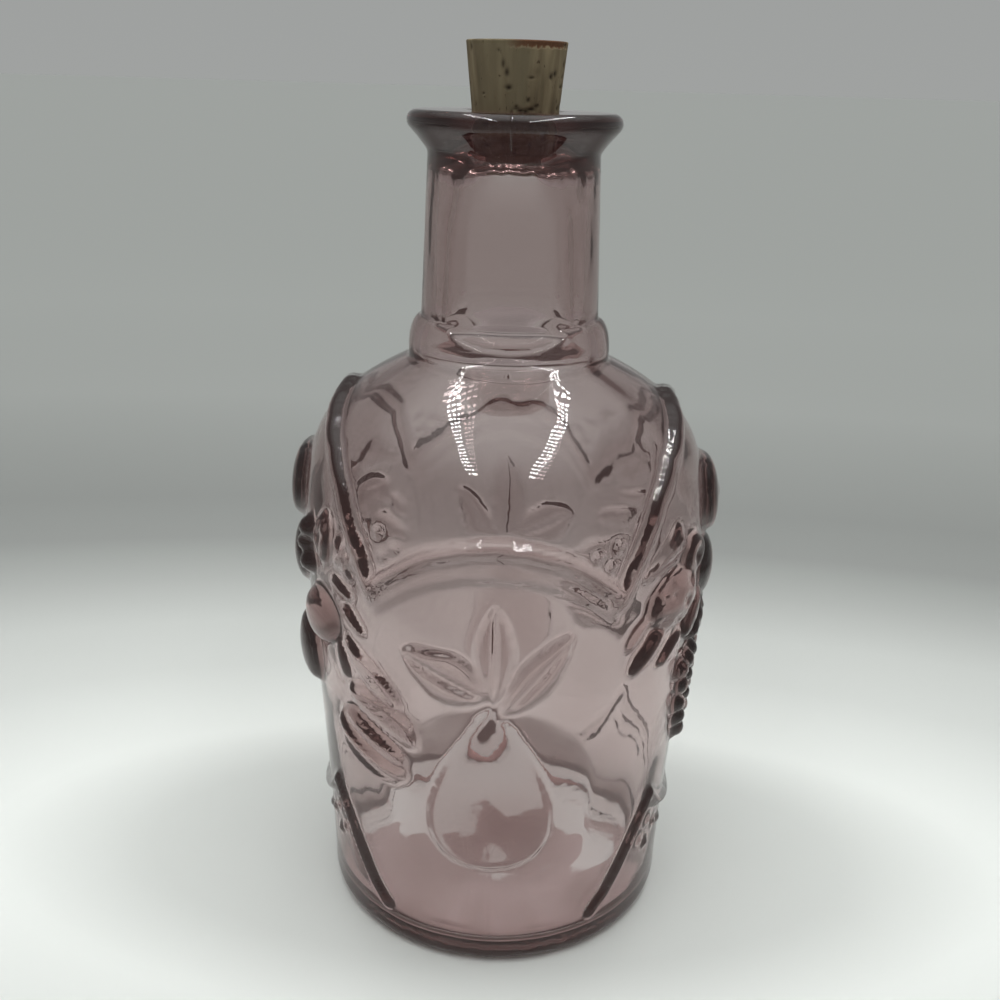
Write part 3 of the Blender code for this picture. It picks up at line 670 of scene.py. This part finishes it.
def waves(azimuths, heights, seed, count, longest, shortest):
    """Smooth unevenness of about unit height over azimuth and height, the same on every run."""
    rng = np.random.default_rng(seed)
    angle = np.radians(azimuths)[None, :]
    total = np.zeros((len(heights), len(azimuths)))
    for _ in range(count):
        length = rng.uniform(shortest, longest)
        direction = rng.uniform(0.0, math.tau)
        turns = round(math.cos(direction) * BODY_RADIUS * math.tau / length)
        rate = math.sin(direction) * math.tau / length
        total += np.cos(angle * turns + heights[:, None] * rate + rng.uniform(0.0, math.tau))
    return total / math.sqrt(count / 2.0)


def soft_least(a, b, rounding):
    """The lesser of two values, rounded where they meet."""
    share = np.clip(0.5 + 0.5 * (b - a) / rounding, 0.0, 1.0)
    return b + (a - b) * share - rounding * share * (1.0 - share)


def mesh_piece(name, points, faces, material, body, node):
    """An object from points in millimetres, riding on a body and standing for a CAD node."""
    mesh = bpy.data.meshes.new(name)
    mesh.from_pydata(np.asarray(points) * MM, [], faces)
    mesh.validate()
    mesh.shade_smooth()
    mesh.materials.append(material)
    piece = bpy.data.objects.new(name, mesh)
    bpy.context.scene.collection.objects.link(piece)
    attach(piece, body)
    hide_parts(node)
    return piece


def glass_columns():
    """Azimuths of the columns: closer on the front than on the back, and closest at the two mould seams."""
    front = np.linspace(-FRONT_REACH, FRONT_REACH, FRONT_COLUMNS, endpoint=False)
    back = np.linspace(FRONT_REACH, 360.0 - FRONT_REACH, BACK_COLUMNS, endpoint=False)
    even = np.concatenate([front, back])
    kept = [a for a in even if min(abs(a - seam) for seam in SEAM_AZIMUTHS) > SEAM_CLEARANCE]
    seams = [seam + offset for seam in SEAM_AZIMUTHS for offset in SEAM_OFFSETS]
    columns = sorted(a % 360.0 for a in kept + seams)
    return np.array(columns[:len(columns) // 2 * 2])


def pressed_relief(azimuths, heights):
    """The whole relief over the wall's columns and rows."""
    relief = Relief(azimuths, heights)
    add_frames(relief)
    add_pear(relief)
    add_front_leaves(relief)
    add_right_fruit(relief)
    add_left_fruit(relief)
    return relief.lift


def seam_lift(azimuths, heights):
    """How far the mould seams stand out, over azimuths and heights."""
    seam = np.exp(-(wrapped(azimuths) / SEAM_WIDTH) ** 2)
    strength = np.clip(step_up(heights, *SEAM_NECK_RISE)
                       + SEAM_SHOULDER_SHARE * step_up(heights, *SEAM_SHOULDER_RISE)
                       + (1.0 - step_up(heights, *SEAM_FOOT_FADE)), 0.0, 1.0)
    return SEAM_LIFT * strength[:, None] * seam[None, :]


def make_glass(material):
    """The bottle's glass, one closed surface from under the base, over the rim, to the floor inside."""
    azimuths = glass_columns()
    rows, normals, names = rows_of(outer_sections() + inner_sections())
    wall = names == "wall"
    heights = rows[wall, 1]
    pressed = pressed_relief(azimuths, heights)
    ends = (step_up(heights, *LOW_FADE) * (1.0 - step_up(heights, *HIGH_FADE)))[:, None]

    offset = np.zeros((len(rows), len(azimuths)))
    offset[wall] = soften(pressed, OUTSIDE_SOFTENING) * ends
    outside = np.isin(names, ["wall", "collar", "neck"])
    offset[outside] += OUTSIDE_UNEVENNESS * waves(azimuths, rows[outside, 1], *OUTSIDE_WAVES)
    flare = names == "flare"
    offset[flare] += FLARE_UNEVENNESS * waves(azimuths, rows[flare, 1] * FLARE_SQUEEZE, *FLARE_WAVES)
    inside = np.isin(names, ["inner_wall", "inner_neck", "inner_collar", "flare"])
    inner_heights = rows[inside, 1]
    order = np.argsort(heights)
    hollowed = soften(pressed * ends, INSIDE_SOFTENING)
    follow = np.array([np.interp(inner_heights, heights[order], column[order], left=0.0, right=0.0)
                       for column in hollowed.T]).T
    uneven = INSIDE_UNEVENNESS * waves(azimuths, inner_heights, *INSIDE_WAVES)
    offset[inside] -= INSIDE_SHARE * follow + uneven
    ring = (np.isin(names, ["base", "heel"]) & (rows[:, 0] > STIPPLE_INSIDE)
            & (rows[:, 0] < STIPPLE_OUTSIDE) & (rows[:, 1] < STIPPLE_TOP))
    stipple = 1.0 + STIPPLE_CHANGE * waves(azimuths, rows[ring, 0], *STIPPLE_WAVES)
    offset[ring] -= STIPPLE_DEPTH * stipple
    seamed = np.isin(names, ["heel", "wall", "collar", "neck", "lip"])
    offset[seamed] += seam_lift(azimuths, rows[seamed, 1])

    angle = np.radians(azimuths)[None, :]
    radius = np.maximum(rows[:, :1] + normals[:, :1] * offset, 0.0)
    height = np.maximum(rows[:, 1:] + normals[:, 1:] * offset, FOOT_GAP)
    x, y = radius * np.sin(angle), -radius * np.cos(angle)
    flatten(y, height, names)
    lathe_mesh("glass_bottle_clear", x, y, height, names, material)


def flatten(y, height, names):
    """Draw the collar to an oval, and press the front and back of the neck and collar flat."""
    collar = np.isin(names, ["collar", "inner_collar"])
    oval_heights, oval_shares = np.array(COLLAR_OVAL_PLACES).T
    y[collar] *= np.interp(height[collar], oval_heights, oval_shares)
    for part_names, places, rounding in ((("collar", "neck", "lip"), FLAT_PLACES, FLAT_ROUNDING),
                                         (("flare", "inner_neck", "inner_collar"), INNER_FLAT_PLACES,
                                          INNER_FLAT_ROUNDING)):
        part = np.isin(names, part_names)
        heights, distances = np.array(places).T
        flat = np.interp(height[part], heights, distances)
        y[part] = np.sign(y[part]) * soft_least(np.abs(y[part]), flat, rounding)


def lathe_mesh(name, x, y, height, names, material):
    """Faces between the rows of points, with half as many columns on the inside."""
    points, faces, starts, counts = [], [], [], []
    total_columns = x.shape[1]
    first_inner = int(np.argmax(names == "mouth"))
    inner_columns = list(range(0, total_columns, COLUMNS_FOR_ONE_INSIDE))
    for row in range(len(x)):
        columns = list(range(total_columns)) if row < first_inner else inner_columns
        starts.append(len(points))
        if row in (0, len(x) - 1):
            counts.append(1)
            points.append((0.0, 0.0, height[row].mean()))
            continue
        counts.append(len(columns))
        points.extend((x[row, c], y[row, c], height[row, c]) for c in columns)
    for row in range(len(x) - 1):
        near, far = starts[row], starts[row + 1]
        count, far_count = counts[row], counts[row + 1]
        if count == 1:
            faces.extend((near, far + (k + 1) % far_count, far + k) for k in range(far_count))
        elif far_count == 1:
            faces.extend((near + k, near + (k + 1) % count, far) for k in range(count))
        elif count == far_count:
            faces.extend((near + k, near + (k + 1) % count, far + (k + 1) % count, far + k)
                         for k in range(count))
        else:
            for k in range(far_count):
                start = COLUMNS_FOR_ONE_INSIDE * k
                first, second, third = [near + (start + ahead) % count for ahead in range(3)]
                low, high = far + k, far + (k + 1) % far_count
                faces.extend(((first, second, low), (second, high, low), (second, third, high)))
    mesh_piece(name, points, faces, material, "bottle", "glass_bottle")


def node_group(material):
    """The material's nodes and links, with only its output left."""
    material.use_nodes = True
    tree = material.node_tree
    tree.nodes.clear()
    output = tree.nodes.new("ShaderNodeOutputMaterial")
    return tree.nodes, tree.links, output


def noise(nodes, links, place, scale, detail, stretch=None):
    """A noise texture at a place, stretched along the axes where a stretch is given."""
    if stretch:
        mapping = nodes.new("ShaderNodeMapping")
        mapping.inputs["Scale"].default_value = stretch
        links.new(place, mapping.inputs["Vector"])
        place = mapping.outputs["Vector"]
    texture = nodes.new("ShaderNodeTexNoise")
    texture.inputs["Scale"].default_value = scale
    texture.inputs["Detail"].default_value = detail
    links.new(place, texture.inputs["Vector"])
    return texture.outputs["Fac"]


def mapped(nodes, links, value, low, high, full=1.0):
    """A value spread so that low becomes 0 and high becomes full."""
    spread = nodes.new("ShaderNodeMapRange")
    spread.inputs["From Min"].default_value = low
    spread.inputs["From Max"].default_value = high
    spread.inputs["To Max"].default_value = full
    links.new(value, spread.inputs["Value"])
    return spread.outputs["Result"]


def blended(nodes, links, share, first, second):
    """Two colours mixed by a share. Each is a socket or a fixed colour."""
    mix = nodes.new("ShaderNodeMix")
    mix.data_type = "RGBA"
    links.new(share, mix.inputs["Factor"])
    for socket, colour in ((mix.inputs[6], first), (mix.inputs[7], second)):
        if isinstance(colour, tuple):
            socket.default_value = colour + (1.0,)
        else:
            links.new(colour, socket)
    return mix.outputs[2]


def calculated(nodes, links, operation, *values):
    """The result of a sum or a function. Each value is a socket or a fixed number."""
    node = nodes.new("ShaderNodeMath")
    node.operation = operation
    for socket, value in zip(node.inputs, values):
        if isinstance(value, float):
            socket.default_value = value
        else:
            links.new(value, socket)
    return node.outputs[0]


def distance_from_middle(nodes, links, place):
    """How far a place is from the middle of the object."""
    length = nodes.new("ShaderNodeVectorMath")
    length.operation = "LENGTH"
    links.new(place, length.inputs[0])
    return length.outputs["Value"]


def roughen(nodes, links, shader, height, strength, distance):
    """Give a surface fine bumps of a height."""
    bump = nodes.new("ShaderNodeBump")
    bump.inputs["Strength"].default_value = strength
    bump.inputs["Distance"].default_value = distance
    links.new(height, bump.inputs["Height"])
    links.new(bump.outputs["Normal"], shader.inputs["Normal"])


def make_glass_material():
    """Clear amethyst glass: smooth, faintly uneven, and darker the more of it the light crosses.

    A very faint painted plum glow, an emission on the glass, stands in for the light that is scattered inside
    thick glass.
    """
    material = bpy.data.materials.new("amethyst_glass")
    nodes, links, output = node_group(material)
    shader = nodes.new("ShaderNodeBsdfPrincipled")
    shader.inputs["Base Color"].default_value = GLASS_TINT
    shader.inputs["Transmission Weight"].default_value = 1.0
    shader.inputs["IOR"].default_value = GLASS_REFRACTION
    # Painted light: a faint plum glow from the glass itself
    shader.inputs["Emission Color"].default_value = PAINTED_GLOW_COLOUR
    shader.inputs["Emission Strength"].default_value = PAINTED_GLOW_STRENGTH
    material.cycles.emission_sampling = "NONE"
    place = nodes.new("ShaderNodeTexCoord").outputs["Object"]
    ripple = noise(nodes, links, place, *RIPPLE_NOISE)
    roughen(nodes, links, shader, ripple, RIPPLE_STRENGTH, RIPPLE_DISTANCE)
    smudges = noise(nodes, links, place, *SMUDGE_NOISE)
    roughness = mapped(nodes, links, smudges, *SMUDGE_LIMITS, SMUDGE_ROUGHNESS)
    links.new(roughness, shader.inputs["Roughness"])
    links.new(shader.outputs["BSDF"], output.inputs["Surface"])
    body = nodes.new("ShaderNodeVolumeAbsorption")
    body.inputs["Color"].default_value = ABSORPTION_COLOUR
    body.inputs["Density"].default_value = ABSORPTION_DENSITY
    links.new(body.outputs["Volume"], output.inputs["Volume"])
    return material


def make_cork_material():
    """Natural cork: tan with upright grain, fine specks, dark pits and a torn reddish patch at the top."""
    material = bpy.data.materials.new("natural_cork")
    nodes, links, output = node_group(material)
    shader = nodes.new("ShaderNodeBsdfPrincipled")
    shader.inputs["Roughness"].default_value = CORK_ROUGHNESS
    shader.inputs["Specular IOR Level"].default_value = CORK_SHINE
    place = nodes.new("ShaderNodeTexCoord").outputs["Object"]
    grain = mapped(nodes, links, noise(nodes, links, place, *GRAIN_NOISE), *GRAIN_LIMITS)
    colour = blended(nodes, links, grain, GRAIN_DARK, GRAIN_PALE)
    for texture, limits, mark in CORK_MARKS:
        share = mapped(nodes, links, noise(nodes, links, place, *texture), *limits)
        colour = blended(nodes, links, share, colour, mark)
    for name, spot in CORK_SPOTS:
        marked = nodes.new("ShaderNodeAttribute")
        marked.attribute_name = name
        colour = blended(nodes, links, marked.outputs["Fac"], colour, spot)
    links.new(colour, shader.inputs["Base Color"])
    bumps = noise(nodes, links, place, *CORK_BUMP_NOISE)
    roughen(nodes, links, shader, bumps, CORK_BUMP_STRENGTH, CORK_BUMP_DISTANCE)
    links.new(shader.outputs["BSDF"], output.inputs["Surface"])
    return material


def cork_pits(azimuths, heights):
    """How deep each pit goes, from 0 to 1, over azimuths in degrees and heights on the cork."""
    depth = np.zeros(np.broadcast(azimuths, heights).shape)
    around = wrapped_full(azimuths)
    rng = np.random.default_rng(CORK_PIT_SEED)
    scattered = [(rng.uniform(-180.0, 180.0), CORK_TOP - rng.uniform(1.0, 31.0), rng.uniform(0.35, 0.95),
                  rng.uniform(0.3, 0.8), rng.uniform(0.5, 1.0)) for _ in range(CORK_PIT_COUNT)]
    for azimuth, height, wide, tall, share in scattered + list(CORK_PITS):
        across = np.radians(wrapped_full(around - azimuth)) * CORK_TOP_RADIUS
        depth = np.maximum(depth, share * np.exp(-(across / wide) ** 2 - ((heights - height) / tall) ** 2))
    return depth


def cork_rings():
    """Radius and height of each ring of the cork, from the middle of its bottom to the middle of its top."""
    side = np.linspace(CORK_BOTTOM + CORK_EDGE, CORK_TOP - CORK_EDGE, CORK_ROWS)
    low_centre = (cork_radius(CORK_BOTTOM) - CORK_EDGE, CORK_BOTTOM + CORK_EDGE)
    high_centre = (CORK_TOP_RADIUS - CORK_EDGE, CORK_TOP - CORK_EDGE)
    low_edge = arc(low_centre, CORK_EDGE, -90.0, 0.0, CORK_EDGE_STEPS)
    high_edge = arc(high_centre, CORK_EDGE, 0.0, 90.0, CORK_EDGE_STEPS)
    rings = [(share * low_edge[0, 0], CORK_BOTTOM) for share in CORK_CAP_SHARES]
    rings += [tuple(point) for point in low_edge]
    rings += [(cork_radius(height), height) for height in side[1:-1]]
    rings += [tuple(point) for point in high_edge]
    rings += [(share * high_edge[-1, 0], CORK_TOP) for share in reversed(CORK_CAP_SHARES)]
    return np.array(rings)


def make_cork(material):
    """The tapered cork, with soft edges, fine ridges, pits, and a chip torn from its top edge."""
    rings = cork_rings()
    radius, height = rings.T[:, :, None]
    azimuths = np.arange(CORK_COLUMNS)[None, :] * 360.0 / CORK_COLUMNS
    on_side = step_up(radius, CORK_TOP_RADIUS * 0.5, CORK_TOP_RADIUS * 0.72)
    pits = cork_pits(azimuths, height) * on_side
    ragged = CHIP_RAISE + CHIP_RAGGEDNESS * waves(azimuths[0], height[:, 0] * RAGGED_SQUEEZE, *RAGGED_WAVES)
    chip = np.exp(-((wrapped_full(azimuths - CHIP_AZIMUTH) / CHIP_HALF_ANGLE) ** 6))
    torn = chip * step_up(height + ragged, *CHIP_FADE) * on_side
    ridges = waves(azimuths[0], height[:, 0] * RIDGE_SQUEEZE, *RIDGE_WAVES)
    radius = radius - (PIT_DEPTH * pits + CHIP_DEPTH * torn + SIDE_INSET + RIDGE_DEPTH * ridges) * on_side
    angle = np.radians(azimuths)
    heights = np.broadcast_to(height, radius.shape)
    grid = np.stack([radius * np.sin(angle), -radius * np.cos(angle), heights], axis=2)
    points = [tuple(point) for point in grid.reshape(-1, 3)]
    faces = []
    for row in range(len(rings) - 1):
        low, high = row * CORK_COLUMNS, (row + 1) * CORK_COLUMNS
        for k in range(CORK_COLUMNS):
            after = (k + 1) % CORK_COLUMNS
            faces.append((low + k, low + after, high + after, high + k))
    last = (len(rings) - 1) * CORK_COLUMNS
    faces.append(tuple(reversed(range(CORK_COLUMNS))))
    faces.append(tuple(range(last, last + CORK_COLUMNS)))
    piece = mesh_piece("cork_natural", points, faces, material, "cork", "cork_stopper")
    for name, values in (("pits", pits), ("torn", torn)):
        layer = piece.data.attributes.new(name, "FLOAT", "POINT")
        layer.data.foreach_set("value", np.ascontiguousarray(values.reshape(-1), dtype=np.float32))


def painted_caustic_light(nodes, links, place):
    """Colour and strength of the painted light under the bottle, a stand-in for the light the glass gathers:
    streaked, and patchy at the back.
    """
    under = mapped(nodes, links, distance_from_middle(nodes, links, place), PAINTED_CAUSTIC_RADIUS,
                   PAINTED_CAUSTIC_RADIUS - PAINTED_CAUSTIC_EDGE)
    apart = nodes.new("ShaderNodeSeparateXYZ")
    links.new(place, apart.inputs["Vector"])
    rise = mapped(nodes, links, apart.outputs["Y"], *PATCH_RISE)
    patches = mapped(nodes, links, noise(nodes, links, place, *PATCH_NOISE), *PATCH_LIMITS)
    joined = calculated(nodes, links, "MULTIPLY_ADD", patches, PATCH_SHARE, rise)
    steps = mapped(nodes, links, joined, *PATCH_STEPS)
    steps.node.interpolation_type = "SMOOTHSTEP"
    streaks = mapped(nodes, links, noise(nodes, links, place, *STREAK_NOISE), *STREAK_LIMITS)
    dim = blended(nodes, links, streaks, PAINTED_CAUSTIC_DIM, PAINTED_CAUSTIC_STREAKS)
    return blended(nodes, links, steps, dim, PAINTED_CAUSTIC_PATCHES), under


def make_stage():
    """A pale floor whose painted shade darkens it softly behind the bottle, with a painted glow under the
    bottle standing in for the light that the bottle gathers there.
    """
    material = bpy.data.materials.new("pale_floor")
    nodes, links, output = node_group(material)
    shader = nodes.new("ShaderNodeBsdfPrincipled")
    shader.inputs["Roughness"].default_value = FLOOR_ROUGHNESS
    shader.inputs["Specular IOR Level"].default_value = FLOOR_SHINE
    place = nodes.new("ShaderNodeTexCoord").outputs["Object"]
    squeeze = nodes.new("ShaderNodeMapping")
    squeeze.inputs["Scale"].default_value = FLOOR_SQUEEZE
    links.new(place, squeeze.inputs["Vector"])
    # Painted shade: the floor's colour darkens with distance from the bottle, with a little painted contact
    # shade round the foot
    colours = nodes.new("ShaderNodeValToRGB")
    set_ramp(colours.color_ramp, FLOOR_PAINTED_SHADE_STOPS, FLOOR_TINT)
    links.new(distance_from_middle(nodes, links, squeeze.outputs["Vector"]), colours.inputs["Fac"])
    links.new(colours.outputs["Color"], shader.inputs["Base Color"])
    # Painted light: a glow on the floor under the bottle stands in for the light the glass gathers there
    light, strength = painted_caustic_light(nodes, links, place)
    links.new(light, shader.inputs["Emission Color"])
    links.new(strength, shader.inputs["Emission Strength"])
    links.new(shader.outputs["BSDF"], output.inputs["Surface"])
    mesh = bpy.data.meshes.new("floor")
    corners = [(x * FLOOR_REACH, y * FLOOR_REACH, 0.0) for x, y in ((-1, -1), (1, -1), (1, 1), (-1, 1))]
    mesh.from_pydata(corners, [], [(0, 1, 2, 3)])
    mesh.materials.append(material)
    floor = bpy.data.objects.new("floor", mesh)
    bpy.context.scene.collection.objects.link(floor)


def set_ramp(ramp, stops, tint):
    """Give a colour ramp its stops, as greys times a tint."""
    while len(ramp.elements) < len(stops):
        ramp.elements.new(0.5)
    for element, (position, value) in zip(ramp.elements, stops):
        element.position = position
        element.color = (value * tint[0], value * tint[1], value * tint[2], 1.0)


def make_world():
    """Soft light from all round: grey at the horizon, darker above it and bright overhead."""
    world = bpy.data.worlds.new("soft_room")
    bpy.context.scene.world = world
    world.use_nodes = True
    nodes, links = world.node_tree.nodes, world.node_tree.links
    nodes.clear()
    output = nodes.new("ShaderNodeOutputWorld")
    background = nodes.new("ShaderNodeBackground")
    place = nodes.new("ShaderNodeTexCoord")
    parts = nodes.new("ShaderNodeSeparateXYZ")
    links.new(place.outputs["Generated"], parts.inputs["Vector"])
    ramp = nodes.new("ShaderNodeValToRGB")
    set_ramp(ramp.color_ramp, SKY_STOPS, SKY_TINT)
    links.new(parts.outputs["Z"], ramp.inputs["Fac"])
    links.new(ramp.outputs["Color"], background.inputs["Color"])
    background.inputs["Strength"].default_value = SKY_STRENGTH
    links.new(background.outputs["Background"], output.inputs["Surface"])


def strip_pattern(data):
    """Give a strip light rows of three bright dots, closer together towards one end."""
    data.use_nodes = True
    nodes, links = data.node_tree.nodes, data.node_tree.links
    nodes.clear()
    output = nodes.new("ShaderNodeOutputLight")
    glow = nodes.new("ShaderNodeEmission")
    place = nodes.new("ShaderNodeNewGeometry")
    parts = nodes.new("ShaderNodeSeparateXYZ")
    links.new(place.outputs["Parametric"], parts.inputs["Vector"])
    shares = []
    for axis, count, power, dim, full in STRIP_PATTERN:
        spread = calculated(nodes, links, "POWER", parts.outputs[axis], power)
        turn = calculated(nodes, links, "MULTIPLY", spread, count * math.tau)
        shares.append(mapped(nodes, links, calculated(nodes, links, "COSINE", turn), dim, full))
    links.new(calculated(nodes, links, "MULTIPLY", *shares), glow.inputs["Strength"])
    links.new(glow.outputs[0], output.inputs["Surface"])


def make_lights():
    """Two long strips of small lamps overhead, as in a photographer's light box."""
    for side in (-1.0, 1.0):
        data = bpy.data.lights.new("strip", "AREA")
        data.shape = "RECTANGLE"
        data.size = STRIP_WIDTH
        data.size_y = STRIP_LENGTH
        data.energy = STRIP_ENERGY
        strip_pattern(data)
        lamp = bpy.data.objects.new("strip", data)
        lamp.location = (STRIP_OFFSET * side, STRIP_MIDDLE, STRIP_HEIGHT)
        bpy.context.scene.collection.objects.link(lamp)


def make_camera():
    """The camera of the photograph."""
    data = bpy.data.cameras.new("camera")
    data.sensor_width = SENSOR_WIDTH
    data.lens = FOCAL_PIXELS * data.sensor_width / PICTURE_PIXELS
    data.shift_x = -(AXIS_PIXEL - PICTURE_PIXELS / 2.0) / PICTURE_PIXELS
    data.clip_start = NEAREST
    data.clip_end = FARTHEST
    camera = bpy.data.objects.new("camera", data)
    turn = Matrix.Rotation(math.radians(CAMERA_AZIMUTH), 4, "Z")
    place = Matrix.Translation((0.0, -CAMERA_DISTANCE * MM, CAMERA_HEIGHT * MM))
    tilt = Matrix.Rotation(math.radians(90.0 - CAMERA_PITCH), 4, "X")
    roll = Matrix.Rotation(math.radians(CAMERA_ROLL), 4, "Z")
    camera.matrix_world = turn @ place @ tilt @ roll
    bpy.context.scene.collection.objects.link(camera)
    bpy.context.scene.camera = camera


make_camera()
make_glass(make_glass_material())
make_cork(make_cork_material())
make_stage()
make_world()
make_lights()
bpy.context.scene.view_settings.view_transform = "Standard"
